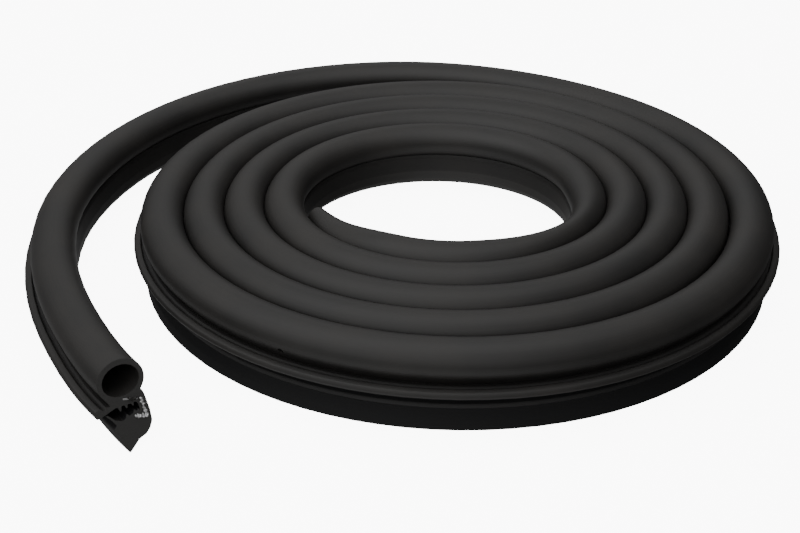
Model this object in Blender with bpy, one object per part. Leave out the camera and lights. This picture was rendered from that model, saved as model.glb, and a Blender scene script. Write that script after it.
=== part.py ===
"""A coiled length of car door seal: a rubber bulb profile with a steel strip in its grip channel."""
import math

import bmesh
import bpy
from mathutils import Vector
from mathutils.geometry import tessellate_polygon

# The coil is a flat spiral that runs anticlockwise from its inner end and opens outward.
# Angles are in degrees, counted on over every turn, and lengths are in metres.
START_ANGLE = 196.0
END_ANGLE = 2029.0
STATION_STEP = 15.0
INNER_RADIUS = 0.04926
TURN_GAP = 0.0003

# One more cross section, where the tail reaches furthest back.
BACKMOST_ANGLE = 1897.5

# The coil isn't quite round: its radius swells by this much twice a turn.
OVAL_SWELL = 0.0024

# The outermost turn springs out a little, then the free tail leaves the coil and ends this far outside it.
TAIL_ANGLES = (1690.0, 1765.0, 1845.0, 1870.0, 1900.0, 1940.0, 1980.0, 2000.0, 2015.0, END_ANGLE)
TAIL_SWING = (0.0, 0.0008, 0.0001, 0.0028, 0.0103, 0.0193, 0.0250, 0.0270, 0.0306, 0.0377)

# Both ends lie a little lower than the coil, and the tail's cut leans: its foot stands ahead of the bulb.
HEAD_SINK = 0.0030
HEAD_EASES = (205.0, 245.0)
TAIL_SINK = 0.0004
TAIL_EASES = (1950.0, END_ANGLE)
CUT_LEAN = 0.32

# The hollow bulb.
BULB_WIDTH = 0.0162
BULB_HEIGHT = 0.0140
BULB_WALL = 0.0018
BULB_STEP = 30
BORE_POINTS = 7

# Where no turn lies outside it, the bulb stands this much further out.
FREE_BULGE = 0.0010

# The inner end springs outward and squeezes its bulb against the next turn, and so does the bend ahead of it.
HEAD_PINCH = 0.44
PINCH_ENDS = 233.0
BEND_PINCH = 0.30
BEND_ANGLES = (280.0, 330.0, 368.0)

# The steel strip, bent to a channel that is tipped back and opens outward.
STRIP_THICKNESS = 0.0005
STRIP_CLEARANCE = 0.00028
STRIP_EDGE = (0.0014, -0.0060)
LEG_TIP = 18.5
BACK_TIP = 5.0
UPPER_LEG = 0.0064
CHANNEL_BACK = 0.0065
LOWER_LEG = 0.0042

# The rubber round the strip, down to the edge that stands on the floor.
PROFILE_HEIGHT = 0.0313
CHANNEL_COVER = 0.0008
WEB_COVER = 0.0011
NOTCH = (-0.0058, -0.0051)
HEEL = (-0.0052, -0.0186)
FOOT = (-0.0035, -0.0202)
INSTEP = (-0.0006, -0.0209)
FIN_LENGTH = 0.0017
FIN_WIDTH = 0.0016

# The ledge beside the bulb. A turn that has another one outside it has its ledge pressed in.
GROOVE = (0.0055, -0.0050)
LEDGE_ROOT = (0.0068, -0.0049)
LEDGE_UNDER = (0.0074, -0.0080)
LEDGE_REACH = 0.0128
PRESSED_REACH = 0.0096
LEDGE_DROP = 0.0075
LEDGE_EDGE = 0.0007
LEDGE_FREE = (1485.0, 1530.0)

# The thin lip that closes the channel's mouth from below.
LIP_TIP = (0.0082, -0.0090)
LIP_BEND = (0.0069, -0.0117)
LIP_ROOT = (0.0042, -0.0126)

# The skirt stands splayed along the coil and hangs straight at the tail's end.
SKIRT_TOP = (0.0061, -0.0148)
SKIRT_SPLAYED = 0.0092
SKIRT_STRAIGHT = 0.0042
SKIRT_EASES = (1930.0, 1995.0)
SKIRT_BELLY = 0.0005

# Vent holes through the bulb's outer flank, just above the ledge.
VENT_DIAMETER = 0.0022
VENT_SPACING = 0.3685
VENT_FIRST = 0.083
VENT_SLOPE = 30.0
VENT_SIDES = 6

TURN_PITCH = BULB_WIDTH + TURN_GAP
FLOOR_TO_BULB = PROFILE_HEIGHT - BULB_HEIGHT / 2
SLOT_HALF = STRIP_THICKNESS / 2 + STRIP_CLEARANCE


def clear_scene():
    """Removes every object that a new file starts with."""
    for item in list(bpy.data.objects):
        bpy.data.objects.remove(item, do_unlink=True)


def make_material(name, colour, metallic, roughness):
    """Returns a plain material."""
    material = bpy.data.materials.new(name)
    material.use_nodes = True
    shader = material.node_tree.nodes["Principled BSDF"]
    shader.inputs["Base Color"].default_value = (*colour, 1.0)
    shader.inputs["Metallic"].default_value = metallic
    shader.inputs["Roughness"].default_value = roughness
    return material


def swing(angle):
    """Returns how far the tail lies outside the spiral at an angle, on a smooth curve."""
    if angle <= TAIL_ANGLES[0]:
        return 0.0
    last = len(TAIL_ANGLES) - 1
    k = max(i for i in range(last) if TAIL_ANGLES[i] < angle)
    slopes = []
    for i in (k, k + 1):
        low, high = max(i - 1, 0), min(i + 1, last)
        rise = (TAIL_SWING[high] - TAIL_SWING[low]) / (TAIL_ANGLES[high] - TAIL_ANGLES[low])
        slopes.append(0.0 if i == 0 else rise)
    span = TAIL_ANGLES[k + 1] - TAIL_ANGLES[k]
    t = (angle - TAIL_ANGLES[k]) / span
    keep = (1 + 2 * t) * (1 - t) ** 2
    gain = t * t * (3 - 2 * t)
    bend = span * (slopes[0] * t * (1 - t) ** 2 - slopes[1] * t * t * (1 - t))
    return keep * TAIL_SWING[k] + gain * TAIL_SWING[k + 1] + bend


def ease(angle, first, last):
    """Returns 0 up to the first angle, 1 from the last one on, and a smooth change between them."""
    t = min(max((angle - first) / (last - first), 0.0), 1.0)
    return t * t * (3 - 2 * t)


def path_point(angle):
    """Returns the bulb's centre line at an angle, seen from above."""
    turn = math.radians(angle)
    oval = OVAL_SWELL * math.cos(2 * turn)
    radius = INNER_RADIUS + TURN_PITCH * (angle - START_ANGLE) / 360 + oval + swing(angle)
    return Vector((radius * math.cos(turn), radius * math.sin(turn), 0.0))


def path_ahead(angle):
    """Returns the level direction along the path."""
    return (path_point(angle + 0.5) - path_point(angle - 0.5)).normalized()


def path_outward(angle):
    """Returns the level direction across the path, away from the coil's centre."""
    ahead = path_ahead(angle)
    return Vector((ahead.y, -ahead.x, 0.0))


def sink(angle):
    """Returns how far the bulb lies below its height along the coil."""
    return HEAD_SINK * (1 - ease(angle, *HEAD_EASES)) + TAIL_SINK * ease(angle, *TAIL_EASES)


def pinch(angle):
    """Returns the share of its width that the bulb loses on its inner side."""
    bend = ease(angle, BEND_ANGLES[0], BEND_ANGLES[1]) * (1 - ease(angle, BEND_ANGLES[1], BEND_ANGLES[2]))
    left = max(PINCH_ENDS - angle, 0.0) / (PINCH_ENDS - START_ANGLE)
    return HEAD_PINCH * left ** 2 + BEND_PINCH * bend


def stations():
    """Returns the angles of the cross sections, the same in every turn, with the backmost and both ends."""
    first = math.floor(START_ANGLE / STATION_STEP) + 1
    last = math.ceil(END_ANGLE / STATION_STEP)
    return sorted([START_ANGLE, BACKMOST_ANGLE, END_ANGLE] + [k * STATION_STEP for k in range(first, last)])


def place(angle, point):
    """Puts a point of the section, outward and up from the bulb's centre, at an angle of the path."""
    spot = path_point(angle) + path_outward(angle) * point[0]
    if angle == END_ANGLE:
        spot -= path_ahead(angle) * CUT_LEAN * point[1]
    return Vector((spot.x, spot.y, FLOOR_TO_BULB - sink(angle) + point[1]))


def bulb_point(angle, inset, degrees):
    """Returns a point of the bulb, or of a curve inside its outline, at an angle of the path."""
    turn = math.radians(degrees)
    bulge = FREE_BULGE * ease(angle, *LEDGE_FREE)
    half = (BULB_WIDTH * (1 - pinch(angle)) + bulge) / 2 - inset
    middle = (BULB_WIDTH * pinch(angle) + bulge) / 2
    return (middle + half * math.cos(turn), (BULB_HEIGHT / 2 - inset) * math.sin(turn))


def strip_line():
    """Returns the four corners of the strip's middle line, from the upper leg's edge to the lower's."""
    leg = math.radians(LEG_TIP)
    back = math.radians(BACK_TIP)
    inward = Vector((-math.cos(leg), -math.sin(leg)))
    edge = Vector(STRIP_EDGE)
    upper = edge + inward * UPPER_LEG
    lower = upper + Vector((-math.sin(back), -math.cos(back))) * CHANNEL_BACK
    return [edge, upper, lower, lower - inward * LOWER_LEG]


def offset_line(points, distance, extend):
    """Returns the line moved sideways by a distance, with its ends drawn out."""
    points = [p.copy() for p in points]
    points[0] -= (points[1] - points[0]).normalized() * extend
    points[-1] += (points[-1] - points[-2]).normalized() * extend
    moved = []
    for i, point in enumerate(points):
        before = (points[i] - points[i - 1]).normalized() if i else None
        after = (points[i + 1] - points[i]).normalized() if i + 1 < len(points) else None
        before = before or after
        after = after or before
        sides = [Vector((-d.y, d.x)) for d in (before, after)]
        mitre = (sides[0] + sides[1]).normalized()
        moved.append(point + mitre * distance / mitre.dot(sides[0]))
    return moved


def strip_loop(clearance):
    """Returns the closed outline of the strip, or of its slot when there is a clearance."""
    half = STRIP_THICKNESS / 2 + clearance
    line = strip_line()
    return offset_line(line, half, clearance) + offset_line(line, -half, clearance)[::-1]


def bulb_arc(angle):
    """Returns the bulb's outside, from the ledge's groove over the top to the notch."""
    return [bulb_point(angle, 0.0, degrees) for degrees in range(-BULB_STEP, 180 + 2 * BULB_STEP, BULB_STEP)]


def fin(base, rise):
    """Returns the foot and the tip of a grip fin that leans into the channel."""
    return [base, base + Vector((-FIN_WIDTH / 2, rise * FIN_LENGTH))]


def outer_loop(angle):
    """Returns the rubber's outside with the channel's cavity, which opens outward at the mouth."""
    line = strip_line()
    web = offset_line(line, -SLOT_HALF - WEB_COVER, 0.0)
    lining = offset_line(line, SLOT_HALF + CHANNEL_COVER, 0.0)
    floor = sink(angle) - FLOOR_TO_BULB
    reach = PRESSED_REACH + (LEDGE_REACH - PRESSED_REACH) * ease(angle, *LEDGE_FREE)
    splay = SKIRT_SPLAYED + (SKIRT_STRAIGHT - SKIRT_SPLAYED) * ease(angle, *SKIRT_EASES)
    belly = ((SKIRT_TOP[0] + splay) / 2 + SKIRT_BELLY, (SKIRT_TOP[1] + floor) / 2)
    loop = [GROOVE]
    loop += bulb_arc(angle)
    loop += [NOTCH, web[1], web[2], HEEL, FOOT, INSTEP]
    loop += [(splay, floor), belly, SKIRT_TOP, LIP_BEND, LIP_TIP, LIP_ROOT]
    loop += fin(lining[3], 1)
    loop += [lining[2], lining[1]]
    loop += fin(lining[0], -1)[::-1]
    loop += [(lining[0].x + FIN_WIDTH, lining[0].y), LEDGE_UNDER]
    loop += [(reach - LEDGE_EDGE, -LEDGE_DROP - LEDGE_EDGE), (reach, -LEDGE_DROP), LEDGE_ROOT]
    return [Vector(point) for point in loop]


def sweep(name, section, material):
    """Makes a solid from the closed loops of a section carried along the path, with flat cut ends."""
    mesh = bmesh.new()
    rings = []
    for angle in stations():
        rings.append([[mesh.verts.new(place(angle, point)) for point in loop] for loop in section(angle)])
    for here, ahead in zip(rings, rings[1:]):
        for near, far in zip(here, ahead):
            for i in range(len(near)):
                j = (i + 1) % len(near)
                mesh.faces.new((near[i], near[j], far[j]))
                mesh.faces.new((near[i], far[j], far[i]))
    for angle, ring in ((START_ANGLE, rings[0]), (END_ANGLE, rings[-1])):
        flat = [[Vector((point[0], point[1], 0.0)) for point in loop] for loop in section(angle)]
        corners = [vertex for loop in ring for vertex in loop]
        for triangle in tessellate_polygon(flat):
            mesh.faces.new([corners[k] for k in triangle])
    bmesh.ops.recalc_face_normals(mesh, faces=mesh.faces)
    data = bpy.data.meshes.new(name)
    mesh.to_mesh(data)
    mesh.free()
    item = bpy.data.objects.new(name, data)
    bpy.context.collection.objects.link(item)
    data.materials.append(material)
    return item


def vent_angles():
    """Returns the angles of the vent holes, evenly spaced along the path from the outer end."""
    angles = []
    angle = END_ANGLE
    run = 0.0
    wanted = VENT_FIRST
    while angle > START_ANGLE + STATION_STEP:
        run += (path_point(angle) - path_point(angle - 1)).length
        angle -= 1
        if run >= wanted:
            angles.append(angle)
            wanted += VENT_SPACING
    return angles


def cut_vents(rubber):
    """Cuts the vent holes through the bulb's outer flank into its bore."""
    slope = math.radians(VENT_SLOPE)
    cutter_mesh = bmesh.new()
    for angle in vent_angles():
        centre = place(angle, bulb_point(angle, BULB_WALL / 2, -VENT_SLOPE))
        direction = path_outward(angle) * math.cos(slope) - Vector((0, 0, 1)) * math.sin(slope)
        turn = direction.to_track_quat("Z", "Y").to_matrix().to_4x4()
        turn.translation = centre
        bmesh.ops.create_cone(cutter_mesh, cap_ends=True, segments=VENT_SIDES, radius1=VENT_DIAMETER / 2,
                              radius2=VENT_DIAMETER / 2, depth=2 * BULB_WALL, matrix=turn)
    data = bpy.data.meshes.new("vents")
    cutter_mesh.to_mesh(data)
    cutter_mesh.free()
    cutter = bpy.data.objects.new("vents", data)
    bpy.context.collection.objects.link(cutter)
    cut = rubber.modifiers.new("vents", "BOOLEAN")
    cut.operation = "DIFFERENCE"
    cut.solver = "EXACT"
    cut.object = cutter
    depsgraph = bpy.context.evaluated_depsgraph_get()
    result = bpy.data.meshes.new_from_object(rubber.evaluated_get(depsgraph))
    rubber.modifiers.clear()
    old = rubber.data
    rubber.data = result
    result.name = rubber.name
    bpy.data.meshes.remove(old)
    bpy.data.objects.remove(cutter, do_unlink=True)


def bore_loop(angle):
    """Returns the bulb's bore."""
    return [bulb_point(angle, BULB_WALL, 90 + 360 / BORE_POINTS * i) for i in range(BORE_POINTS)]


def centre_on_floor(items):
    """Moves the meshes so that the middle of their common box lies over the origin."""
    spots = [vertex.co for item in items for vertex in item.data.vertices]
    middle = Vector([(min(s[k] for s in spots) + max(s[k] for s in spots)) / 2 for k in (0, 1)] + [0.0])
    for item in items:
        for vertex in item.data.vertices:
            vertex.co -= middle


def rubber_section(angle):
    """Returns the rubber's outline, the bulb's bore and the strip's slot."""
    return [outer_loop(angle), bore_loop(angle), strip_loop(STRIP_CLEARANCE)]


def strip_section(angle):
    """Returns the strip's outline, which is the same all along."""
    return [strip_loop(0.0)]


clear_scene()
black_rubber = make_material("black_rubber", (0.012, 0.012, 0.012), 0.0, 0.6)
bright_steel = make_material("bright_steel", (0.55, 0.55, 0.56), 1.0, 0.35)
rubber_profile = sweep("rubber_profile", rubber_section, black_rubber)
cut_vents(rubber_profile)
steel_carrier = sweep("steel_carrier", strip_section, bright_steel)
centre_on_floor([rubber_profile, steel_carrier])
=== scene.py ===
"""Dresses the coiled car door seal: its rubber extrusion, the slotted steel strip inside and the cut ends."""
import bisect
import enum
import logging
import math
import random
from collections.abc import Callable
from dataclasses import dataclass, field

import bmesh
import bpy
from mathutils import Matrix, Vector
from mathutils.geometry import tessellate_polygon


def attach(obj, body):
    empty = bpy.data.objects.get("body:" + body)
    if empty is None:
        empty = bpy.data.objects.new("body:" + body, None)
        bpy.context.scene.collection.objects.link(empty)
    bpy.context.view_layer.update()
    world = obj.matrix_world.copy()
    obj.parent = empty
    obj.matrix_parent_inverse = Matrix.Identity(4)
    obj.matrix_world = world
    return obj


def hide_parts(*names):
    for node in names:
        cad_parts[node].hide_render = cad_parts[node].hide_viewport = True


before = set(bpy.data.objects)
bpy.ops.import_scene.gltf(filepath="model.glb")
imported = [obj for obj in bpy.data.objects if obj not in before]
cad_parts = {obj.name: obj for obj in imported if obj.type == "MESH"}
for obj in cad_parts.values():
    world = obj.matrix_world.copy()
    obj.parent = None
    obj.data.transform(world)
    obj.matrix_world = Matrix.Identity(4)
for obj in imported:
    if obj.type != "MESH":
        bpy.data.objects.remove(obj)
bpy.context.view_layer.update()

MM = 0.001
LOG = logging.getLogger("door_seal")

# The most of an edge that one rounded corner takes up.
EDGE_SHARE = 0.48

Point = tuple[float, float]
# A stretch of the section's outline: its share of the darker, matt rubber, which is partly real denser rubber
# and partly painted shade, and its corners.
Stretch = tuple[float, list["Corner"]]


class Slot(enum.Enum):
    """The material slots' names."""

    RUBBER = "black_rubber"
    STEEL = "bright_steel"


class Part(enum.Enum):
    """The CAD nodes that the pieces stand for."""

    RUBBER = "rubber_profile"
    STEEL = "steel_carrier"


def ease(value: float, first: float, last: float) -> float:
    """Eases from 0 to 1 between two values.

    Args:
        value: Where to read the change.
        first: Up to here the result is 0.
        last: From here on the result is 1.

    Returns:
        A number from 0 to 1 on a smooth curve.
    """
    t = min(max((value - first) / (last - first), 0.0), 1.0)
    return t * t * (3 - 2 * t)


@dataclass(frozen=True)
class Socket:
    """A node's output socket, which turns Python arithmetic into Math nodes."""

    shop: "NodeShop"
    socket: bpy.types.NodeSocket

    def _math(self, operation: str, first: object, second: object = 0.0) -> "Socket":
        """Adds one Math node and returns its result."""
        return self.shop.node("ShaderNodeMath", {"operation": operation}, {0: first, 1: second})

    def __add__(self, other: object) -> "Socket":
        """Returns the sum."""
        return self._math("ADD", self, other)

    __radd__ = __add__

    def __sub__(self, other: object) -> "Socket":
        """Returns the difference."""
        return self._math("SUBTRACT", self, other)

    def __rsub__(self, other: object) -> "Socket":
        """Returns a number less this socket."""
        return self._math("SUBTRACT", other, self)

    def __mul__(self, other: object) -> "Socket":
        """Returns the product."""
        return self._math("MULTIPLY", self, other)

    __rmul__ = __mul__


@dataclass
class NodeShop:
    """Adds nodes to one tree, for a material, the world or a Geometry Nodes group."""

    tree: bpy.types.NodeTree

    def node(self, kind: str, settings: dict[str, object] | None = None,
             inputs: dict[object, object] | None = None, output: object = 0) -> Socket:
        """Adds a node.

        Args:
            kind: The node's type.
            settings: Properties that are set first; "stops" are a colour ramp's positions and colours.
            inputs: Values or sockets, by the input's name or place.
            output: The name or place of the output to return.

        Returns:
            The wanted output.
        """
        made = self.tree.nodes.new(kind)
        for name, value in (settings or {}).items():
            if name == "stops":
                self._set_stops(made, value)
            else:
                setattr(made, name, value)
        for key, value in (inputs or {}).items():
            if isinstance(value, Socket):
                self.tree.links.new(value.socket, made.inputs[key])
            else:
                made.inputs[key].default_value = value
        return Socket(self, made.outputs[output])

    @staticmethod
    def _set_stops(ramp: bpy.types.Node, stops: tuple[Point, ...]) -> None:
        """Sets a colour ramp's stops, each a position and a grey level."""
        elements = ramp.color_ramp.elements
        while len(elements) < len(stops):
            elements.new(0.5)
        for element, (position, grey) in zip(elements, stops):
            element.position = position
            element.color = (grey, grey, grey, 1.0)

    def other(self, socket: Socket, name: object) -> Socket:
        """Returns another output of the node that a socket belongs to."""
        return Socket(self, socket.socket.node.outputs[name])

    def vector(self, operation: str, first: object, second: object = (0.0, 0.0, 0.0)) -> Socket:
        """Adds a Vector Math node and returns its vector."""
        return self.node("ShaderNodeVectorMath", {"operation": operation}, {0: first, 1: second})

    def scaled(self, vector: Socket, factor: object) -> Socket:
        """Returns a vector times a number."""
        return self.node("ShaderNodeVectorMath", {"operation": "SCALE"}, {0: vector, "Scale": factor})

    def noise(self, vector: Socket, scale: float, detail: float) -> Socket:
        """Returns plain noise from 0 to 1."""
        return self.node("ShaderNodeTexNoise", {"noise_dimensions": "3D"},
                         {"Vector": vector, "Scale": scale, "Detail": detail})

    def mix_colour(self, factor: Socket, low: tuple[float, ...], high: tuple[float, ...]) -> Socket:
        """Returns a colour between two."""
        colours = {6: (*low, 1.0), 7: (*high, 1.0)}
        return self.node("ShaderNodeMix", {"data_type": "RGBA"}, {0: factor, **colours}, 2)


@dataclass(frozen=True)
class CoilPath:
    """The flat spiral that the seal lies in, seen from above, with angles counted on over every turn.

    The tail's swings are in millimetres, and the other lengths in metres.
    """

    centre: tuple[float, float] = (16.434 * MM, -3.707 * MM)
    start_angle: float = 196.0
    end_angle: float = 2029.0
    inner_radius: float = 49.26 * MM
    turn_pitch: float = 16.5 * MM
    oval_swell: float = 2.4 * MM
    tail_angles: tuple[float, ...] = (
        1690.0, 1765.0, 1845.0, 1870.0, 1900.0, 1940.0, 1980.0, 2000.0, 2015.0, 2029.0,
    )
    tail_swing: tuple[float, ...] = (0.0, 0.8, 0.1, 2.8, 10.3, 19.3, 25.0, 27.0, 30.6, 37.7)
    head_sink: float = 3.0 * MM
    head_rises: tuple[float, float] = (205.0, 245.0)
    tail_sink: float = 0.4 * MM
    tail_sinks_from: float = 1950.0
    head_pinch: float = 0.44
    pinch_ends: float = 233.0
    bend_pinch: float = 0.30
    bend_angles: tuple[float, float, float] = (280.0, 330.0, 368.0)
    station_step: float = 4.3
    least_step: float = 0.2
    fine_run: float = 16.0 * MM
    fine_step: float = 1.5 * MM

    def swing(self, angle: float) -> float:
        """Works out how far the free tail lies outside the spiral.

        Args:
            angle: The place along the coil, in degrees.

        Returns:
            The distance in metres.
        """
        angles, swings = self.tail_angles, self.tail_swing
        if angle <= angles[0]:
            return 0.0
        last = len(angles) - 1
        k = max(i for i in range(last) if angles[i] < angle)
        slopes = []
        for i in (k, k + 1):
            low, high = max(i - 1, 0), min(i + 1, last)
            slopes.append((swings[high] - swings[low]) / (angles[high] - angles[low]) if i else 0.0)
        span = angles[k + 1] - angles[k]
        t = (angle - angles[k]) / span
        level = (1 + 2 * t) * (1 - t) ** 2 * swings[k] + t * t * (3 - 2 * t) * swings[k + 1]
        return (level + span * (slopes[0] * t * (1 - t) ** 2 - slopes[1] * t * t * (1 - t))) * MM

    def point(self, angle: float) -> Vector:
        """Finds a point of the bulb's centre line.

        Args:
            angle: The place along the coil, in degrees.

        Returns:
            The point, on the floor's level.
        """
        turn = math.radians(angle)
        radius = self.inner_radius + self.turn_pitch * (angle - self.start_angle) / 360
        radius += self.oval_swell * math.cos(2 * turn) + self.swing(angle)
        x, y = self.centre
        return Vector((x + radius * math.cos(turn), y + radius * math.sin(turn), 0.0))

    def sink(self, angle: float) -> float:
        """Returns how far the bulb lies below its height along the coil."""
        head = self.head_sink * (1 - ease(angle, *self.head_rises))
        return head + self.tail_sink * ease(angle, self.tail_sinks_from, self.end_angle)

    def pinch(self, angle: float) -> float:
        """Works out how much the bulb is squeezed where the inner end presses on the next turn.

        Args:
            angle: The place along the coil, in degrees.

        Returns:
            The share, 0 where the bulb keeps its width.
        """
        first, peak, last = self.bend_angles
        bend = ease(angle, first, peak) * (1 - ease(angle, peak, last))
        left = max(self.pinch_ends - angle, 0.0) / (self.pinch_ends - self.start_angle)
        return self.head_pinch * left ** 2 + self.bend_pinch * bend

    def stations(self) -> list[tuple[float, float]]:
        """Places the cross sections, closer together near the cuts.

        Returns:
            Each cross section's angle and its run along the path.
        """
        count = round((self.end_angle - self.start_angle) / self.station_step)
        span = (self.end_angle - self.start_angle) / count
        angles = [self.start_angle + span * i for i in range(count + 1)]
        for end, inward in ((self.start_angle, 1), (self.end_angle, -1)):
            per_degree = (self.point(end + inward) - self.point(end)).length
            angles += [end + inward * self.fine_step * k / per_degree
                       for k in range(1, round(self.fine_run / self.fine_step))]
        angles = sorted(angles)
        kept = [angles[0]]
        kept += [a for a, b in zip(angles[1:], angles[2:]) if min(a - angles[0], b - a) > self.least_step]
        kept.append(angles[-1])
        runs = [0.0]
        for before, after in zip(kept, kept[1:]):
            runs.append(runs[-1] + (self.point(after) - self.point(before)).length)
        return list(zip(kept, runs))

    def curve(self) -> bpy.types.Object:
        """Makes the guide curve through the stations, which the winding reads.

        Returns:
            The curve's object, which is taken away once all pieces are wound.
        """
        data = bpy.data.curves.new("coil_path", "CURVE")
        data.dimensions = "3D"
        marks = self.stations()
        line = data.splines.new("POLY")
        line.points.add(len(marks) - 1)
        for point, (angle, _) in zip(line.points, marks):
            point.co = (*self.point(angle), 1.0)
        guide = bpy.data.objects.new("coil_path", data)
        bpy.context.scene.collection.objects.link(guide)
        return guide


@dataclass(frozen=True)
class Corner:
    """A corner of an outline with its rounding."""

    outward: float
    up: float
    radius: float = 0.0
    steps: int = 2


def rounded(corners: list[Corner], closed: bool = True) -> list[Point]:
    """Rounds an outline's corners.

    Args:
        corners: The corners in order, in millimetres.
        closed: Whether the last corner joins the first.

    Returns:
        The outline's points in metres, always the same number for the same corners.
    """
    out: list[Point] = []
    count = len(corners)
    for i, corner in enumerate(corners):
        here = Vector((corner.outward, corner.up))
        ends = not closed and i in (0, count - 1)
        if corner.radius == 0.0 or ends:
            out.append((here.x * MM, here.y * MM))
            continue
        before = Vector((corners[i - 1].outward, corners[i - 1].up)) - here
        after_corner = corners[(i + 1) % count]
        after = Vector((after_corner.outward, after_corner.up)) - here
        half = before.angle(after) / 2
        reach = min(corner.radius / math.tan(half), EDGE_SHARE * before.length, EDGE_SHARE * after.length)
        start = here + before.normalized() * reach
        end = here + after.normalized() * reach
        for k in range(corner.steps + 1):
            t = k / corner.steps
            bend = start * (1 - t) ** 2 + here * 2 * t * (1 - t) + end * t * t
            out.append((bend.x * MM, bend.y * MM))
    return out


@dataclass(frozen=True)
class SealSection:
    """The seal's cross section in millimetres and degrees, outward and up from the bulb's centre."""

    floor_drop: float = 24.3
    bulb_width: float = 16.42
    free_bulge: float = 0.9
    bulb_height: float = 14.0
    bulb_wall: float = 1.8
    bulb_step: float = 6.0
    bulb_from: float = -33.0
    bulb_to: float = 213.0
    bore_points: int = 24
    bore_flatness: float = 0.97
    strip_edge: tuple[float, float] = (1.4, -6.0)
    leg_tip: float = 18.5
    back_tip: float = 5.0
    upper_leg: float = 6.4
    channel_back: float = 6.5
    lower_leg: float = 4.2
    strip_bend: float = 0.9
    strip_thickness: float = 0.5
    slot_clearance: float = 0.05
    lining: float = 1.1
    fin_length: float = 1.9
    ledge_reach: float = 12.6
    pressed_reach: float = 9.7
    ledge_top: float = -6.1
    ledge_rim: float = 3.0
    groove_foot: float = 6.3
    groove_depth: float = 1.05
    groove_spread: float = 2.2
    skirt_splayed: float = 9.15
    skirt_straight: float = 4.2

    @property
    def bulb_points(self) -> int:
        """Returns how many of the outline's points lie on the bulb."""
        return round((self.bulb_to - self.bulb_from) / self.bulb_step) + 1

    def strip_line(self) -> list[Vector]:
        """Returns the corners of the steel strip's middle line, from the upper leg's edge to the lower's."""
        leg, back = math.radians(self.leg_tip), math.radians(self.back_tip)
        inward = Vector((-math.cos(leg), -math.sin(leg)))
        edge = Vector(self.strip_edge)
        upper = edge + inward * self.upper_leg
        lower = upper + Vector((-math.sin(back), -math.cos(back))) * self.channel_back
        return [edge, upper, lower, lower - inward * self.lower_leg]

    def beside_strip(self, distance: float, extend: float) -> list[Vector]:
        """Moves the strip's middle line towards the channel's inside.

        Args:
            distance: How far the line is moved, in millimetres.
            extend: How far each end is drawn out, in millimetres.

        Returns:
            The moved line's corners.
        """
        line = self.strip_line()
        line[0] -= (line[1] - line[0]).normalized() * extend
        line[-1] += (line[-1] - line[-2]).normalized() * extend
        moved = []
        for i, point in enumerate(line):
            before = (line[max(i, 1)] - line[max(i, 1) - 1]).normalized()
            last = min(i, len(line) - 2)
            after = (line[last + 1] - line[last]).normalized()
            mitre = Vector((-before.y - after.y, before.x + after.x)).normalized()
            moved.append(point + mitre * distance / mitre.dot(Vector((-before.y, before.x))))
        return moved

    def slot(self) -> list[Point]:
        """Makes the outline of the slot that the steel strip lies in.

        Returns:
            The closed outline in metres.
        """
        half = self.strip_thickness / 2 + self.slot_clearance
        inner = self.beside_strip(half, self.slot_clearance)
        outer = self.beside_strip(-half, self.slot_clearance)[::-1]
        bends = [0.0, self.strip_bend - half, self.strip_bend - half, 0.0, 0.0,
                 self.strip_bend + half, self.strip_bend + half, 0.0]
        return rounded([Corner(p.x, p.y, r, 3) for p, r in zip(inner + outer, bends)])

    def bulb_point(self, pinch: float, free: float, inset: float, degrees: float) -> Point:
        """Finds a point of the bulb, or of a curve inside it.

        Args:
            pinch: The share of its width that the bulb loses.
            free: 1 where no turn presses on the bulb from outside, else down to 0.
            inset: How far inside the bulb's outside the point lies, in millimetres.
            degrees: Where round the bulb the point lies, from outward over the top.

        Returns:
            The point in metres.
        """
        turn = math.radians(degrees)
        half = (self.bulb_width * (1 - pinch) + self.free_bulge * free) / 2 - inset
        middle = (self.bulb_width * pinch + self.free_bulge * free) / 2
        up = (self.bulb_height / 2 - inset) * math.sin(turn)
        return ((middle + half * math.cos(turn)) * MM, up * MM)

    def bore(self, pinch: float, free: float) -> list[Point]:
        """Makes the bulb's bore, which is a little flatter at its bottom.

        Args:
            pinch: The share of its width that the bulb loses.
            free: 1 where no turn presses on the bulb from outside, else down to 0.

        Returns:
            The closed outline in metres.
        """
        turns = [90 + 360 / self.bore_points * i for i in range(self.bore_points)]
        points = [self.bulb_point(pinch, free, self.bulb_wall, degrees) for degrees in turns]
        return [(outward, up if up > 0 else up * self.bore_flatness) for outward, up in points]

    @staticmethod
    def _back() -> list[Stretch]:
        """Draws the outline from the bulb's foot down the channel's back and under it.

        Returns:
            The stretches in order.
        """
        web = [Corner(-5.9, -5.2, 0.5), Corner(-6.45, -7.2, 1.0), Corner(-6.95, -12.6, 4.0, 3)]
        heel = [Corner(-6.75, -16.6, 2.4, 3), Corner(-5.3, -18.8, 1.2)]
        sole = [Corner(-3.5, -20.2, 1.0), Corner(-0.6, -20.9, 3.0)]
        return [(0.25, web), (0.0, heel), (0.5, sole)]

    def _skirt(self, splay: float, sink: float) -> list[Stretch]:
        """Draws the skirt with its edge on the floor and the bead at its top.

        Args:
            splay: 1 where the skirt is splayed, 0 where it hangs straight.
            sink: How far the bulb lies below its height along the coil, in metres.

        Returns:
            The stretches in order.
        """
        tip = self.skirt_straight + (self.skirt_splayed - self.skirt_straight) * splay
        floor = sink / MM - self.floor_drop
        edge = [Corner(tip - 0.55, floor, 0.12, 1), Corner(tip, floor + 0.06, 0.12, 1)]
        skirt = [Corner((tip + 6.4) / 2 + 0.4, floor + 4.0, 4.0, 3), Corner(6.15, -17.2, 1.2)]
        bead = [Corner(7.35, -15.9, 0.7, 3), Corner(7.25, -14.5, 0.6, 3)]
        # The floor edge takes none of the darker rubber, a painted reflection that makes it a lighter rim;
        # the skirt takes all of it, partly real rubber and partly painted shade under the ledge.
        return [(0.0, edge), (1.0, skirt), (0.55, bead)]

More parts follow.
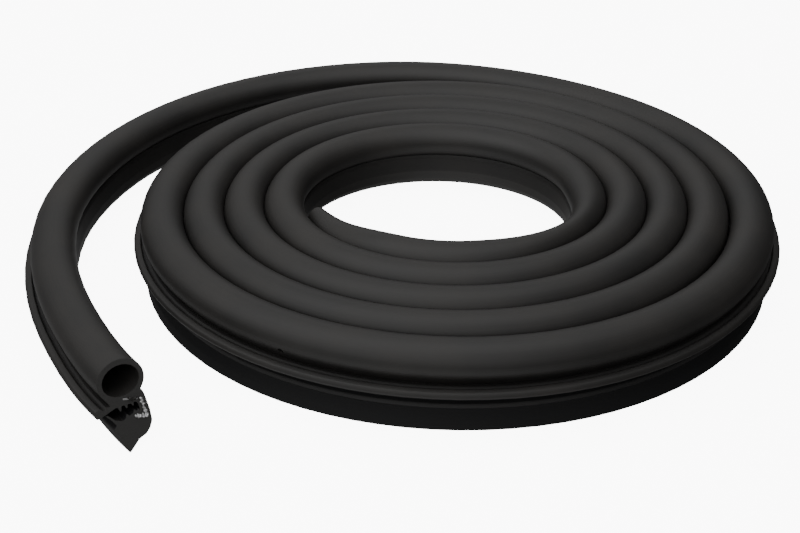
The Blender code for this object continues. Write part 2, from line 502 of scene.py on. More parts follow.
    def _mouth(self) -> list[Stretch]:
        """Draws the thin lip at the channel's mouth and the grip fins inside.

        Returns:
            The stretches in order.
        """
        rim, upper, lower, low = self.beside_strip(self.strip_thickness / 2 + self.lining, 0.0)
        throat = [Corner(5.9, -13.6, 0.4), Corner(7.2, -11.2, 1.6)]
        lip = [
            Corner(8.65, -9.35, 0.25), Corner(8.05, -9.2, 0.25),
            Corner(6.0, -11.7, 1.4), Corner(3.6, -12.9, 1.2),
        ]
        grip = [
            Corner(2.3, -12.5, 0.3, 1), Corner(1.5, -10.9, 0.25, 1), Corner(0.8, -12.2, 0.3, 1),
            Corner(low.x + 0.9, low.y + 0.1, 0.3, 1),
            Corner(low.x + 0.2, low.y + self.fin_length * 0.75, 0.2, 1),
            Corner(low.x - 0.5, low.y - 0.1, 0.3, 1),
            Corner(low.x - 1.2, low.y + self.fin_length * 0.6, 0.2, 1),
            Corner(lower.x + 0.15, lower.y, 0.6, 1), Corner(upper.x + 0.1, upper.y, 0.8, 1),
            Corner(-2.0, (upper.y * 1.4 + rim.y * 1.6) / 3, 0.3, 1), Corner(-1.5, -10.0, 0.2, 1),
            Corner(-0.9, -8.5, 0.4, 1), Corner(0.3, -8.2, 0.3, 1), Corner(0.8, -9.9, 0.2, 1),
            Corner(1.6, -8.1, 0.4, 1), Corner(2.6, -8.1, 0.3, 1), Corner(3.3, -10.2, 0.2, 1),
            Corner(3.9, -8.1, 0.4, 1),
        ]
        return [(1.0, throat), (0.3, lip), (1.0, grip)]

    def _ledge(self, ledge: float, room: float) -> list[Stretch]:
        """Draws the ledge with its rim, and the groove beside the bulb that shrinks as it's pressed in.

        Args:
            ledge: 0 where the next turn presses the ledge in, 1 where it is free.
            room: How much further than its pitch the next turn lies, in metres.

        Returns:
            The stretches in order.
        """
        pressed = self.pressed_reach + room / MM
        reach = pressed + (self.ledge_reach - pressed) * ledge
        under = [Corner(4.8, -7.9, 1.0), Corner(7.5, -8.5, 1.0), Corner(reach - 0.8, -9.25, 0.7, 3)]
        top = [
            Corner(reach + 0.05, -8.0, 0.9, 3), Corner(reach - 0.75, -6.6, 1.0, 4),
            Corner(reach - self.ledge_rim, self.ledge_top, 0.6, 3),
        ]
        span = reach - self.ledge_rim - self.groove_foot
        deep = min(self.groove_depth, span / self.groove_spread)
        steps = ((0.92, 1.0, 0.4), (0.64, 0.85, 0.3), (0.42, 0.45, 0.3), (0.0, 0.5, 0.5))
        groove = [Corner(self.groove_foot + span * out, self.ledge_top - deep * down, radius)
                  for out, down, radius in steps]
        # The ledge's underside and the groove by the bulb take the darker rubber partly as painted shade, and
        # the ledge's top keeps the lighter skin as painted light from above.
        return [(0.8, under), (0.0, top), (0.35, groove)]

    def _stretches(self, ledge: float, splay: float, sink: float, room: float) -> list[Stretch]:
        """Returns the outline's stretches after the bulb, in order."""
        return self._back() + self._skirt(splay, sink) + self._mouth() + self._ledge(ledge, room)

    def dense_and_shade_shares(self) -> list[float]:
        """Works out how much each of the outline's steps is of the darker, matt rubber: partly the real
        denser rubber, partly painted shade under the ledge, in the groove and on the skirt, and none on the
        ledge's top and the skirt's floor edge, which paints them lighter.

        Returns:
            A share from 0 to 1 for each step, in the outline's order.
        """
        shares = [0.0] * (self.bulb_points - 1)
        for share, corners in self._stretches(1.0, 1.0, 0.0, 0.0):
            shares += [share] * sum(corner.steps + 1 for corner in corners)
        return shares + [0.0]

    def outline(self, ledge: float, splay: float, sink: float, pinch: float, room: float) -> list[Point]:
        """Returns the rubber's outside and its grip channel.

        Args:
            ledge: 0 where the next turn presses the ledge in, 1 where it is free.
            splay: 1 where the skirt is splayed, 0 where it hangs straight.
            sink: How far the bulb lies below its height along the coil, in metres.
            pinch: The share of its width that the bulb loses.
            room: How much further than its pitch the next turn lies, in metres.

        Returns:
            The closed outline in metres.
        """
        turns = [self.bulb_from + self.bulb_step * i for i in range(self.bulb_points)]
        bulb = [self.bulb_point(pinch, ledge, 0.0, degrees) for degrees in turns]
        stretches = self._stretches(ledge, splay, sink, room)
        corners = [corner for _, stretch in stretches for corner in stretch]
        return bulb + rounded(corners)


@dataclass(frozen=True)
class Winding:
    """The Geometry Nodes steps that wind a straight piece along the coil's path."""

    guide: bpy.types.Object

    def wind(self, shop: NodeShop, geometry: Socket) -> Socket:
        """Winds a straight geometry along the guide.

        Args:
            shop: The tree to add to.
            geometry: The straight piece: X is its run, Y is outward and Z is up from the floor.

        Returns:
            The wound geometry.
        """
        spot = shop.node("GeometryNodeInputPosition")
        run = shop.node("ShaderNodeSeparateXYZ", None, {0: spot})
        outward, up = shop.other(run, 1), shop.other(run, 2)
        path = shop.node("GeometryNodeObjectInfo", {"transform_space": "ORIGINAL"}, {"Object": self.guide},
                         "Geometry")
        place = shop.node("GeometryNodeSampleCurve", {"mode": "LENGTH", "use_all_curves": False},
                          {"Curves": path, "Length": run}, "Position")
        ahead = shop.vector("NORMALIZE", shop.other(place, "Tangent"))
        across = shop.vector("CROSS_PRODUCT", ahead, (0.0, 0.0, 1.0))
        lean = shop.node("GeometryNodeInputNamedAttribute", {"data_type": "FLOAT"}, {"Name": "lean"},
                         "Attribute")
        height = shop.node("ShaderNodeCombineXYZ", None, {2: up})
        moved = shop.vector("ADD", place, shop.scaled(across, outward))
        moved = shop.vector("ADD", shop.vector("ADD", moved, height), shop.scaled(ahead, lean))
        return shop.node("GeometryNodeSetPosition", None, {"Geometry": geometry, "Position": moved})


def new_tree(name: str, sizes: dict[str, float]) -> tuple[bpy.types.NodeTree, NodeShop, bpy.types.Node]:
    """Makes an empty Geometry Nodes tree.

    Args:
        name: The tree's name.
        sizes: The named inputs with their values, in metres or plain numbers.

    Returns:
        The tree, its shop and the node of its inputs.
    """
    tree = bpy.data.node_groups.new(name, "GeometryNodeTree")
    tree.interface.new_socket("Geometry", in_out="INPUT", socket_type="NodeSocketGeometry")
    tree.interface.new_socket("Geometry", in_out="OUTPUT", socket_type="NodeSocketGeometry")
    for size, value in sizes.items():
        made = tree.interface.new_socket(size, in_out="INPUT", socket_type="NodeSocketFloat")
        made.default_value = value
    shop = NodeShop(tree)
    inputs = tree.nodes.new("NodeGroupInput")
    return tree, shop, inputs


def finish_tree(shop: NodeShop, geometry: Socket, material: bpy.types.Material) -> None:
    """Ends a tree in Realize Instances and Set Material.

    Args:
        shop: The tree to end.
        geometry: Its last geometry.
        material: The finish of all its faces.
    """
    real = shop.node("GeometryNodeRealizeInstances", None, {"Geometry": geometry})
    dressed = shop.node("GeometryNodeSetMaterial", None, {"Geometry": real, "Material": material})
    out = shop.tree.nodes.new("NodeGroupOutput")
    shop.tree.links.new(dressed.socket, out.inputs["Geometry"])


def apply_tree(piece: bpy.types.Object, tree: bpy.types.NodeTree) -> None:
    """Runs a tree on a piece and keeps the result as its plain mesh.

    Args:
        piece: The piece, whose mesh is replaced.
        tree: The Geometry Nodes tree.
    """
    step = piece.modifiers.new(tree.name, "NODES")
    step.node_group = tree
    result = bpy.data.meshes.new_from_object(piece.evaluated_get(bpy.context.evaluated_depsgraph_get()))
    piece.modifiers.clear()
    old = piece.data
    piece.data = result
    result.name = piece.name
    bpy.data.meshes.remove(old)


def smooth(piece: bpy.types.Object, degrees: float) -> None:
    """Shades a piece smooth with sharp edges past an angle."""
    piece.data.shade_smooth()
    piece.data.set_sharp_from_angle(angle=math.radians(degrees))


def add_piece(name: str, mesh: bmesh.types.BMesh) -> bpy.types.Object:
    """Turns a bmesh into an object of the scene.

    Args:
        name: The object's name.
        mesh: Its mesh, which is freed here.

    Returns:
        The new object.
    """
    data = bpy.data.meshes.new(name)
    mesh.to_mesh(data)
    mesh.free()
    piece = bpy.data.objects.new(name, data)
    bpy.context.scene.collection.objects.link(piece)
    return piece


@dataclass(frozen=True)
class RubberFinish:
    """Black extruded rubber: satin skin with faint drawn lines, dull denser rubber that also paints shade,
    and a matt cut.
    """

    name: str = "black_rubber_skin"
    skin: tuple[float, float, float] = (0.0142, 0.0138, 0.0134)
    bloom: tuple[float, float, float] = (0.0252, 0.0230, 0.0209)
    # The darker colour is partly the denser carrier rubber and partly painted shade, darkened further for the
    # skirt under the ledge.
    dense_and_painted_shade: tuple[float, float, float] = (0.0048, 0.0049, 0.0053)
    cut: tuple[float, float, float] = (0.046, 0.0450, 0.0435)
    roughness: float = 0.50
    dense_roughness: float = 0.70
    cut_roughness: float = 0.85
    gloss: float = 0.36
    dense_gloss: float = 0.26
    bloom_levels: tuple[float, float] = (0.35, 0.72)
    line_share: float = 0.3
    roughness_spread: float = 0.20
    draw_length: float = 0.10
    draw_width: float = 0.6 * MM
    cloud_scale: float = 38.0
    grain_size: float = 0.5 * MM
    line_relief: float = 0.5
    grain_relief: float = 0.6
    cut_relief: float = 2.5
    bump_strength: float = 0.35
    bump_depth: float = 0.12 * MM

    def material(self) -> bpy.types.Material:
        """Returns the material."""
        made = bpy.data.materials.new(self.name)
        made.use_nodes = True
        tree = made.node_tree
        shader = tree.nodes["Principled BSDF"]
        shop = NodeShop(tree)
        strip = shop.node("ShaderNodeUVMap", {"uv_map": "strip"})
        solid = shop.node("ShaderNodeTexCoord", output="Object")
        drawn = shop.vector("MULTIPLY", strip, (1 / self.draw_length, 1 / self.draw_width, 0.0))
        lines = shop.noise(drawn, 1.0, 3.0)
        clouds = shop.noise(solid, self.cloud_scale, 4.0)
        grain = shop.noise(solid, 1 / self.grain_size, 2.0)
        cut = shop.node("ShaderNodeAttribute", {"attribute_name": "cut_face"}, output="Fac")
        # This mask mixes in the darker, duller rubber: partly the real denser carrier rubber, partly painted
        # shade under the ledge, in the groove and on the skirt.
        dense_and_painted_shade = shop.node("ShaderNodeAttribute", {"attribute_name": "dense_rubber"}, output="Fac")
        worn = clouds * (1 - self.line_share) + lines * self.line_share
        low, high = self.bloom_levels
        bloomed = shop.node("ShaderNodeMapRange", None, {0: worn, 1: low, 2: high})
        skin = shop.mix_colour(bloomed, self.skin, self.bloom)
        colour = shop.node("ShaderNodeMix", {"data_type": "RGBA"}, {0: cut, 6: skin, 7: (*self.cut, 1.0)}, 2)
        tree.links.new(colour.socket, shader.inputs["Base Color"])
        rough = self.roughness + (worn - 0.5) * self.roughness_spread
        rough = rough + cut * (self.cut_roughness - self.roughness)
        tree.links.new(rough.socket, shader.inputs["Roughness"])
        relief = lines * self.line_relief + grain * self.grain_relief + cut * grain * self.cut_relief
        bump = shop.node("ShaderNodeBump", None, {"Strength": self.bump_strength, "Distance": self.bump_depth,
                                                 "Height": relief}, "Normal")
        tree.links.new(bump.socket, shader.inputs["Normal"])
        shader.inputs["Specular IOR Level"].default_value = self.gloss
        dull = shop.node("ShaderNodeBsdfPrincipled", None, {"Normal": bump, "Roughness": self.dense_roughness,
                                                           "Base Color": (*self.dense_and_painted_shade, 1.0),
                                                           "Specular IOR Level": self.dense_gloss})
        satin = Socket(shop, shader.outputs[0])
        mixed = shop.node("ShaderNodeMixShader", None, {0: dense_and_painted_shade, 1: satin, 2: dull})
        tree.links.new(mixed.socket, tree.nodes["Material Output"].inputs["Surface"])
        return made


@dataclass(frozen=True)
class SteelFinish:
    """Bright rolled steel strip with a fine grain and dull patches."""

    name: str = "bright_steel_strip"
    clean: tuple[float, float, float] = (0.94, 0.94, 0.95)
    dull: tuple[float, float, float] = (0.55, 0.545, 0.54)
    patch_scale: float = 900.0
    patch_levels: tuple[float, float] = (0.42, 0.62)
    roughness: float = 0.40
    patch_roughness: float = 0.3
    bump_strength: float = 0.4
    bump_depth: float = 0.1 * MM

    def material(self) -> bpy.types.Material:
        """Returns the material."""
        made = bpy.data.materials.new(self.name)
        made.use_nodes = True
        tree = made.node_tree
        shader = tree.nodes["Principled BSDF"]
        shop = NodeShop(tree)
        solid = shop.node("ShaderNodeTexCoord", output="Object")
        patches = shop.noise(solid, self.patch_scale, 3.0)
        low, high = self.patch_levels
        spread = shop.node("ShaderNodeMapRange", None, {0: patches, 1: low, 2: high})
        colour = shop.mix_colour(spread, self.clean, self.dull)
        tree.links.new(colour.socket, shader.inputs["Base Color"])
        rough = self.roughness + spread * self.patch_roughness
        tree.links.new(rough.socket, shader.inputs["Roughness"])
        bump = shop.node("ShaderNodeBump", None, {"Strength": self.bump_strength, "Distance": self.bump_depth,
                                                 "Height": patches}, "Normal")
        tree.links.new(bump.socket, shader.inputs["Normal"])
        shader.inputs["Metallic"].default_value = 1.0
        return made


@dataclass
class RubberExtrusion:
    """The rubber of the seal, extruded straight, vented and wound into its coil."""

    path: CoilPath
    section: SealSection
    finish: RubberFinish
    ledge_free: tuple[float, float] = (1485.0, 1530.0)
    skirt_eases: tuple[float, float] = (1930.0, 1995.0)
    cut_lean: float = 0.32
    lean_run: float = 15.0 * MM
    vent_diameter: float = 2.2 * MM
    vent_spacing: float = 368.5 * MM
    vent_first: float = 83.0 * MM
    vent_slope: float = 19.0
    vent_sides: int = 20
    drill_walls: float = 2.2
    middle_angle: float = 1000.0
    sharp_from: float = 38.0
    stations: list[tuple[float, float]] = field(default_factory=list)

    def __post_init__(self) -> None:
        """Works out where the cross sections lie."""
        self.stations = self.path.stations()

    @property
    def length(self) -> float:
        """Returns the strip's length along its path."""
        return self.stations[-1][1]

    @property
    def end_height(self) -> float:
        """Returns the bulb centre's height over the floor at the free end."""
        return self.height(self.path.end_angle)

    def loops(self, angle: float) -> list[list[Point]]:
        """Makes the section's closed loops.

        Args:
            angle: The place along the coil, in degrees.

        Returns:
            The outside, the bore and the slot.
        """
        pinch = self.path.pinch(angle)
        free = ease(angle, *self.ledge_free)
        room = self.path.swing(min(angle, self.ledge_free[0]) + 360)
        splay = 1 - ease(angle, *self.skirt_eases)
        outside = self.section.outline(free, splay, self.path.sink(angle), pinch, room)
        return [outside, self.section.bore(pinch, free), self.section.slot()]

    def height(self, angle: float) -> float:
        """Returns the bulb centre's height over the floor."""
        return self.section.floor_drop * MM - self.path.sink(angle)

    def lean(self, run: float, up: float) -> float:
        """Works out how far the slanting cut at the free end moves a point along the strip.

        Args:
            run: How far along the path the point lies.
            up: Its height over the bulb's centre.

        Returns:
            The way along the strip in metres, forwards or back.
        """
        near = 1 - min((self.length - run) / self.lean_run, 1.0)
        return -self.cut_lean * up * near * near

    def straight(self) -> bpy.types.Object:
        """Makes the straight strip: X is its run, Y is outward and Z is up from the floor."""
        mesh = bmesh.new()
        lean = mesh.verts.layers.float.new("lean")
        uv = mesh.loops.layers.uv.new("strip")
        cut = mesh.faces.layers.float.new("cut_face")
        dense_and_painted_shade = mesh.faces.layers.float.new("dense_rubber")
        shares = self.section.dense_and_shade_shares()
        rings = []
        for angle, run in self.stations:
            height = self.height(angle)
            rings.append([self._ring(mesh, lean, loop, run, height) for loop in self.loops(angle)])
        around = []
        for loop in self.loops(self.middle_angle):
            runs = [0.0]
            for a, b in zip(loop, loop[1:] + loop[:1]):
                runs.append(runs[-1] + math.dist(a, b))
            around.append(runs)
        for (here, ahead), (low, high) in zip(zip(rings, rings[1:]), zip(self.stations, self.stations[1:])):
            for k, (near, far) in enumerate(zip(here, ahead)):
                for i in range(len(near)):
                    j = (i + 1) % len(near)
                    face = mesh.faces.new((near[i], near[j], far[j], far[i]))
                    # The outside has a share of the darker rubber, partly painted shade, at each step, the
                    # bore has none and the slot is all of it.
                    face[dense_and_painted_shade] = shares[i] if k == 0 else float(k == 2)
                    spots = ((low[1], i), (low[1], i + 1), (high[1], i + 1), (high[1], i))
                    for corner, (run, step) in zip(face.loops, spots):
                        corner[uv].uv = (run, around[k][step])
        for ring, (angle, _) in ((rings[0], self.stations[0]), (rings[-1], self.stations[-1])):
            flat = [[Vector((p[0], p[1], 0.0)) for p in loop] for loop in self.loops(angle)]
            corners = [vertex for loop in ring for vertex in loop]
            for triangle in tessellate_polygon(flat):
                face = mesh.faces.new([corners[k] for k in triangle])
                face[cut] = 1.0
                for corner in face.loops:
                    corner[uv].uv = (corner.vert.co.y, corner.vert.co.z)
        bmesh.ops.recalc_face_normals(mesh, faces=mesh.faces)
        return add_piece("rubber_extrusion", mesh)

    def _ring(self, mesh: bmesh.types.BMesh, lean: object, loop: list[Point], run: float,
              height: float) -> list[bmesh.types.BMVert]:
        """Adds one loop's vertices at a run along the strip.

        Args:
            mesh: The mesh to add to.
            lean: Its layer of how far the cut moves a vertex.
            loop: The section's loop.
            run: How far along the path it lies.
            height: The bulb centre's height over the floor.

        Returns:
            The loop's vertices.
        """
        ring = []
        for outward, up in loop:
            vertex = mesh.verts.new((run, outward, height + up))
            vertex[lean] = self.lean(run, up)
            ring.append(vertex)
        return ring

    def vent_tree(self, winding: Winding) -> bpy.types.NodeTree:
        """Makes the tree that drills the vents at even steps and winds the strip.

        Args:
            winding: The path that the strip is wound along.

        Returns:
            The tree, with the vents' sizes as its inputs.
        """
        count = int((self.length - self.vent_first) / self.vent_spacing) + 1
        sizes = {"Vent Diameter": self.vent_diameter, "Vent Spacing": self.vent_spacing,
                 "Vent Start": self.length - self.vent_first - (count - 1) * self.vent_spacing}
        tree, shop, inputs = new_tree("vent_and_wind", sizes)
        size = {name: Socket(shop, inputs.outputs[name]) for name in sizes}
        middle = self.section.bulb_point(0.0, 1.0, self.section.bulb_wall / 2, -self.vent_slope)
        level = self.height(self.middle_angle) + middle[1]
        start = shop.node("ShaderNodeCombineXYZ", None, {0: size["Vent Start"], 1: middle[0], 2: level})
        step = shop.node("ShaderNodeCombineXYZ", None, {0: size["Vent Spacing"]})
        marks = shop.node("GeometryNodeMeshLine", {"mode": "OFFSET"},
                          {"Count": count, "Start Location": start, "Offset": step})
        drill = shop.node("GeometryNodeMeshCylinder", None,
                          {"Vertices": self.vent_sides, "Radius": size["Vent Diameter"] * 0.5,
                           "Depth": self.drill_walls * self.section.bulb_wall * MM})
        tipped = shop.node("ShaderNodeCombineXYZ", None, {0: -math.radians(90 + self.vent_slope)})
        drills = shop.node("GeometryNodeInstanceOnPoints", None,
                           {"Points": marks, "Instance": drill, "Rotation": tipped})
        drills = shop.node("GeometryNodeRealizeInstances", None, {"Geometry": drills})
        vented = shop.node("GeometryNodeMeshBoolean", {"operation": "DIFFERENCE", "solver": "EXACT"},
                           {"Mesh 1": Socket(shop, inputs.outputs["Geometry"]), "Mesh 2": drills}, "Mesh")
        finish_tree(shop, winding.wind(shop, vented), self.finish.material())
        return tree

    def build(self, winding: Winding) -> bpy.types.Object:
        """Makes the wound rubber piece.

        Args:
            winding: The path that the strip is wound along.

        Returns:
            The finished piece, which stands for the CAD's rubber.
        """
        piece = self.straight()
        apply_tree(piece, self.vent_tree(winding))
        smooth(piece, self.sharp_from)
        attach(piece, "root")
        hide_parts(Part.RUBBER.value)
        return piece


@dataclass
class SteelStrip:
    """The steel strip, stamped flat with slots, folded to a channel and wound with the rubber."""

    path: CoilPath
    section: SealSection
    finish: SteelFinish
    marks: list[tuple[float, float]]
    lean: Callable[[float, float], float]
    slot_pitch: float = 3.1 * MM
    proud: float = 0.2 * MM
    across: int = 12
    rails: tuple[int, ...] = (0, 5, 6, 11)
    fold_steps: int = 4
    sharp_from: float = 40.0

    @property
    def length(self) -> float:
        """Returns the strip's length along the path."""
        return self.marks[-1][1]

    @property
    def columns(self) -> int:
        """Returns how many cells lie along the strip: an odd number, so that both ends are whole."""
        return round(self.length / (self.slot_pitch / 2)) | 1

    def height(self, run: float) -> float:
        """Reads the bulb centre's height over the floor.

        Args:
            run: How far along the path it is wanted.

        Returns:
            The height in metres.
        """
        k = min(bisect.bisect_right(self.marks, run, key=lambda mark: mark[1]), len(self.marks) - 1)
        (low, start), (high, end) = self.marks[k - 1], self.marks[k]
        angle = low + (high - low) * (run - start) / (end - start)
        return self.section.floor_drop * MM - self.path.sink(angle)

    def has_metal(self, i: int, j: int) -> bool:
        """Returns whether a cell is metal and no slot, i cells across the strip and j along it."""
        inside = 0 <= i < self.across and 0 <= j < self.columns
        return inside and (j % 2 == 0 or i in self.rails)

    def sides(self) -> list[tuple[Vector, Vector]]:
        """Places the folded strip's two faces at even steps across it.

        Returns:
            Each step's two points, on the channel's inside and on its outside.
        """
        line = self.section.strip_line()
        bend = self.section.strip_bend
        folds = rounded([Corner(p.x, p.y, bend, self.fold_steps) for p in line], closed=False)
        runs = [0.0]
        for a, b in zip(folds, folds[1:]):
            runs.append(runs[-1] + math.dist(a, b))
        half = self.section.strip_thickness / 2 * MM
        made = []
        for i in range(self.across + 1):
            reach = runs[-1] * i / self.across
            k = max(j for j in range(len(runs) - 1) if runs[j] <= reach + 1e-9)
            t = (reach - runs[k]) / (runs[k + 1] - runs[k])
            a, b = Vector(folds[k]), Vector(folds[k + 1])
            spot = a.lerp(b, t)
            way = (b - a).normalized()
            normal = Vector((-way.y, way.x))
            made.append((spot + normal * half, spot - normal * half))
        return made

    def straight(self) -> bpy.types.Object:
        """Makes the straight strip: X is its run, Y is outward and Z is up from the floor."""
        mesh = bmesh.new()
        lean = mesh.verts.layers.float.new("lean")
        sides = self.sides()
        grid: dict[tuple[int, int, int], bmesh.types.BMVert] = {}

        def vertex(i: int, j: int, side: int) -> bmesh.types.BMVert:
            """Returns the vertex of a grid place, made when first wanted."""
            key = (i, j, side)
            if key not in grid:
                spot = sides[i][side]
                run = self.length * j / self.columns
                grid[key] = mesh.verts.new((run, spot.x, self.height(run) + spot.y))
                proud = self.proud if j == self.columns else 0.0
                grid[key][lean] = self.lean(run, spot.y) + proud
            return grid[key]

        cells = [(i, j) for j in range(self.columns) for i in range(self.across) if self.has_metal(i, j)]
        for i, j in cells:
            corners = ((i, j), (i + 1, j), (i + 1, j + 1), (i, j + 1))
            for side in (0, 1):
                mesh.faces.new([vertex(a, b, side) for a, b in corners])
            edges = (((i, j - 1), (i, j), (i + 1, j)), ((i, j + 1), (i, j + 1), (i + 1, j + 1)),
                     ((i - 1, j), (i, j), (i, j + 1)), ((i + 1, j), (i + 1, j), (i + 1, j + 1)))
            for beside, a, b in edges:
                if not self.has_metal(*beside):
                    mesh.faces.new([vertex(*a, 0), vertex(*b, 0), vertex(*b, 1), vertex(*a, 1)])
        bmesh.ops.recalc_face_normals(mesh, faces=mesh.faces)
        return add_piece("slotted_steel_strip", mesh)

    def build(self, winding: Winding) -> bpy.types.Object:
        """Makes the wound steel strip.

        Args:
            winding: The path that the strip is wound along.

        Returns:
            The finished piece, which stands for the CAD's steel.
        """
        piece = self.straight()
        tree, shop, inputs = new_tree("wind_strip", {})
        wound = winding.wind(shop, Socket(shop, inputs.outputs["Geometry"]))
        finish_tree(shop, wound, self.finish.material())
        apply_tree(piece, tree)
        smooth(piece, self.sharp_from)
        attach(piece, "root")
        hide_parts(Part.STEEL.value)
        return piece


@dataclass(frozen=True)
class TornBits:
    """The small torn bits that the cutter left on the free cut, of rubber or as burrs of steel.

    Lengths are in millimetres. The bits are spread over a share of the steel strip's line in the section,
    lie off it by up to the scatter each way, and stand proud of the cut.
    """

    count: int
    sizes: tuple[float, float]
    scatter: float
    shares: tuple[float, float]
    proud: float
    seed: int
    sharp_from: float = 30.0
    thickness: float = 0.5
    stretch: tuple[float, float] = (0.7, 1.6)
    tallness: float = 0.6
    raggedness: float = 0.22

    @staticmethod
    def along(line: list[Vector], share: float) -> Vector:
        """Finds the point at a share of a bent line's length.

        Args:
            line: The line's corners.
            share: The share of its length, from 0 to 1.

        Returns:
            The point.
        """
        lengths = [(b - a).length for a, b in zip(line, line[1:])]
        left = share * sum(lengths)
        k = 0
        while left > lengths[k] and k < len(lengths) - 1:
            left -= lengths[k]
            k += 1
        return line[k].lerp(line[k + 1], left / lengths[k])

    def build(self, name: str, rubber: RubberExtrusion, winding: Winding, material: bpy.types.Material,
              slot: Slot) -> bpy.types.Object:
        """Makes the bits on the free cut, along the steel strip's line.

        Args:
            name: The piece's name.
            rubber: The rubber that the bits sit on.
            winding: The path that the strip is wound along.
            material: The bits' material.
            slot: Not used.

        Returns:
            The bits as one piece.
        """
        draw = random.Random(self.seed)
        line = rubber.section.strip_line()
        mesh = bmesh.new()
        lean = mesh.verts.layers.float.new("lean")
        first, last = self.shares
        for i in range(self.count):
            spot = self.along(line, first + (last - first) * (i + draw.uniform(0.1, 0.9)) / self.count)
            spot += Vector((draw.uniform(-1, 1), draw.uniform(-1, 1))) * self.scatter
            size = draw.uniform(*self.sizes)
            roll = Matrix.Rotation(draw.uniform(0, math.tau), 4, "X")
            tilt = Matrix.Rotation(draw.uniform(0, 1), 4, "Y")
            wide = size * draw.uniform(*self.stretch)
            shape = Matrix.Diagonal((size * self.thickness, wide, size * self.tallness, 1.0))
            made = bmesh.ops.create_icosphere(mesh, subdivisions=2, radius=1.0, matrix=roll @ tilt @ shape)
            for vertex in made["verts"]:
                stray = Vector((draw.uniform(-1, 1), draw.uniform(-1, 1), draw.uniform(-1, 1)))
                vertex.co += stray * size * self.raggedness
                ahead = (vertex.co.x + self.proud) * MM
                vertex.co = Vector((rubber.length, (spot.x + vertex.co.y) * MM,
                                    rubber.end_height + (spot.y + vertex.co.z) * MM))
                vertex[lean] = ahead + rubber.lean(rubber.length, vertex.co.z - rubber.end_height)
        piece = add_piece(name, mesh)
        tree, shop, inputs = new_tree(name, {})
        finish_tree(shop, winding.wind(shop, Socket(shop, inputs.outputs["Geometry"])), material)
        apply_tree(piece, tree)
        smooth(piece, self.sharp_from)
        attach(piece, "root")
        return piece


@dataclass(frozen=True)
class Softbox:
    """A square softbox that points at the coil's middle, with its place and side in metres and its watts."""

    name: str
    place: tuple[float, float, float]
    size: float
    watts: float

    def hang(self) -> None:
        """Adds the lamp to the scene."""
        box = bpy.data.lights.new(self.name, "AREA")
        box.shape = "SQUARE"
        box.size = self.size
        box.energy = self.watts
        holder = bpy.data.objects.new(self.name, box)
        holder.location = self.place
        holder.rotation_euler = (-holder.location).to_track_quat("-Z", "Y").to_euler()
        bpy.context.scene.collection.objects.link(holder)


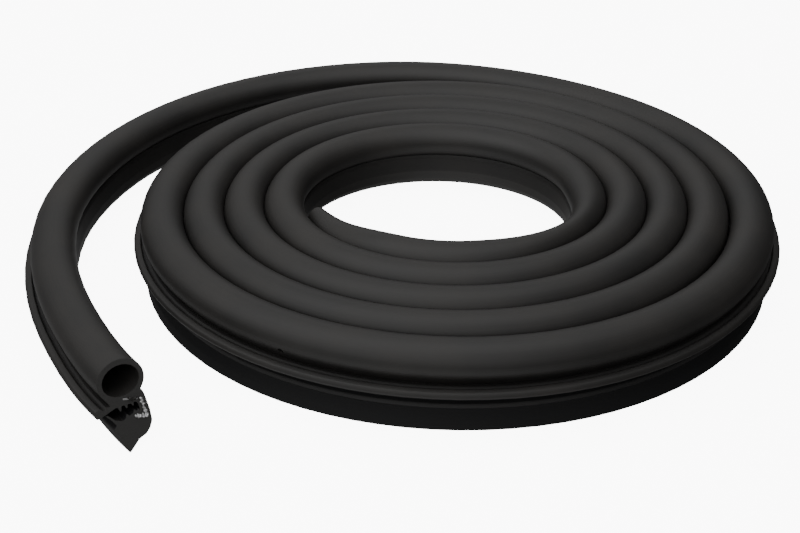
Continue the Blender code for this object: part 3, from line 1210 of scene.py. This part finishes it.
@dataclass(frozen=True)
class Studio:
    """The pale floor, the soft light and the camera."""

    elevation: float = 30.93
    distance: float = 0.4884
    lens: float = 57.41
    target: tuple[float, float, float] = (-2.656 * MM, -59.257 * MM, 24.3 * MM)
    sensor: float = 36.0
    floor_size: float = 8.0
    floor_tone: float = 0.93
    floor_glow: float = 9.0
    dome_strength: float = 0.82
    dome_tones: tuple[Point, ...] = ((0.20, 0.62), (0.38, 0.28), (0.60, 0.18), (0.74, 0.70), (0.95, 0.90))
    right_change: tuple[float, ...] = (0.0, 0.6, 1.0, 0.25)
    front_change: tuple[float, ...] = (-0.1, -0.7, 1.0, 2.4)
    back_change: tuple[float, ...] = (0.80, 1.0, 1.0, 2.2)
    softboxes: tuple[Softbox, ...] = (
        Softbox("left_softbox", (-0.9, -0.1, 1.1), 1.0, 3.0),
        Softbox("overhead_softbox", (-0.01, 0.02, 0.50), 0.50, 0.90),
    )

    def floor(self) -> None:
        """Makes the floor."""
        mesh = bmesh.new()
        bmesh.ops.create_grid(mesh, x_segments=1, y_segments=1, size=self.floor_size / 2)
        floor = add_piece("studio_floor", mesh)
        material = bpy.data.materials.new("pale_floor")
        material.use_nodes = True
        shader = material.node_tree.nodes["Principled BSDF"]
        shader.inputs["Base Color"].default_value = (self.floor_tone, self.floor_tone, self.floor_tone, 1.0)
        shader.inputs["Roughness"].default_value = 1.0
        shader.inputs["Specular IOR Level"].default_value = 0.0
        shader.inputs["Emission Color"].default_value = (1.0, 1.0, 1.0, 1.0)
        shader.inputs["Emission Strength"].default_value = self.floor_glow
        floor.data.materials.append(material)
        floor.visible_glossy = False
        floor.visible_diffuse = False

    @staticmethod
    def _change(shop: NodeShop, way: Socket, span: tuple[float, ...]) -> Socket:
        """Returns a factor that goes smoothly along a way, between two places and their two levels."""
        ends = dict(enumerate(span, 1))
        return shop.node("ShaderNodeMapRange", {"interpolation_type": "SMOOTHSTEP"}, {0: way, **ends})

    def light(self) -> None:
        """Makes the soft light: a dome with a dark band and a shaded right side, and the softboxes."""
        world = bpy.data.worlds.new("studio_dome")
        bpy.context.scene.world = world
        world.use_nodes = True
        shop = NodeShop(world.node_tree)
        way = shop.node("ShaderNodeTexCoord", output="Generated")
        side = shop.node("ShaderNodeSeparateXYZ", None, {0: way})
        depth, up = shop.other(side, 1), shop.other(side, 2)
        dome = shop.node("ShaderNodeValToRGB", {"stops": self.dome_tones}, {0: up * 0.5 + 0.5}, "Color")
        right = self._change(shop, side, self.right_change)
        front = self._change(shop, depth, self.front_change)
        back = self._change(shop, depth, self.back_change)
        shade = world.node_tree.nodes["Background"]
        world.node_tree.links.new(shop.scaled(dome, right * front * back).socket, shade.inputs["Color"])
        shade.inputs["Strength"].default_value = self.dome_strength
        for softbox in self.softboxes:
            softbox.hang()

    def camera(self) -> None:
        """Sets the camera at the photograph's view."""
        data = bpy.data.cameras.new("studio_camera")
        data.lens = self.lens
        data.sensor_width = self.sensor
        data.clip_start = 0.01
        rise = math.radians(self.elevation)
        back = Vector((0.0, -math.cos(rise), math.sin(rise)))
        right = Vector((1.0, 0.0, 0.0))
        pose = Matrix((right, back.cross(right), back)).transposed().to_4x4()
        pose.translation = Vector(self.target) + back * self.distance
        camera = bpy.data.objects.new("studio_camera", data)
        camera.matrix_world = pose
        bpy.context.scene.collection.objects.link(camera)
        bpy.context.scene.camera = camera


def report(piece: bpy.types.Object) -> None:
    """Logs a piece with its size."""
    faces = sum(len(face.vertices) - 2 for face in piece.data.polygons)
    LOG.info("%s: %d triangles, %s m", piece.name, faces, tuple(round(size, 4) for size in piece.dimensions))


def main() -> None:
    """Builds the seal and the studio."""
    logging.basicConfig(level=logging.INFO, format="%(message)s")
    path, section = CoilPath(), SealSection()
    guide = path.curve()
    winding = Winding(guide)
    rubber = RubberExtrusion(path, section, RubberFinish())
    strip = SteelStrip(path, section, SteelFinish(), rubber.stations, rubber.lean)
    report(rubber.build(winding))
    report(strip.build(winding))
    smears = TornBits(13, (0.30, 0.62), scatter=0.30, shares=(0.10, 0.36), proud=0.16, seed=11)
    crumbs = TornBits(16, (0.20, 0.48), scatter=0.75, shares=(0.38, 1.0), proud=0.10, seed=23)
    burrs = TornBits(34, (0.22, 0.56), scatter=0.30, shares=(0.37, 1.0), proud=0.14, seed=5, sharp_from=12.0)
    black_rubber = bpy.data.materials[rubber.finish.name]
    bright_steel = bpy.data.materials[strip.finish.name]
    report(smears.build("rubber_smears", rubber, winding, black_rubber, Slot.RUBBER))
    report(crumbs.build("rubber_crumbs", rubber, winding, black_rubber, Slot.RUBBER))
    report(burrs.build("steel_burrs", rubber, winding, bright_steel, Slot.STEEL))
    bpy.data.objects.remove(guide, do_unlink=True)
    studio = Studio()
    studio.floor()
    studio.light()
    studio.camera()


if __name__ == "__main__":
    main()
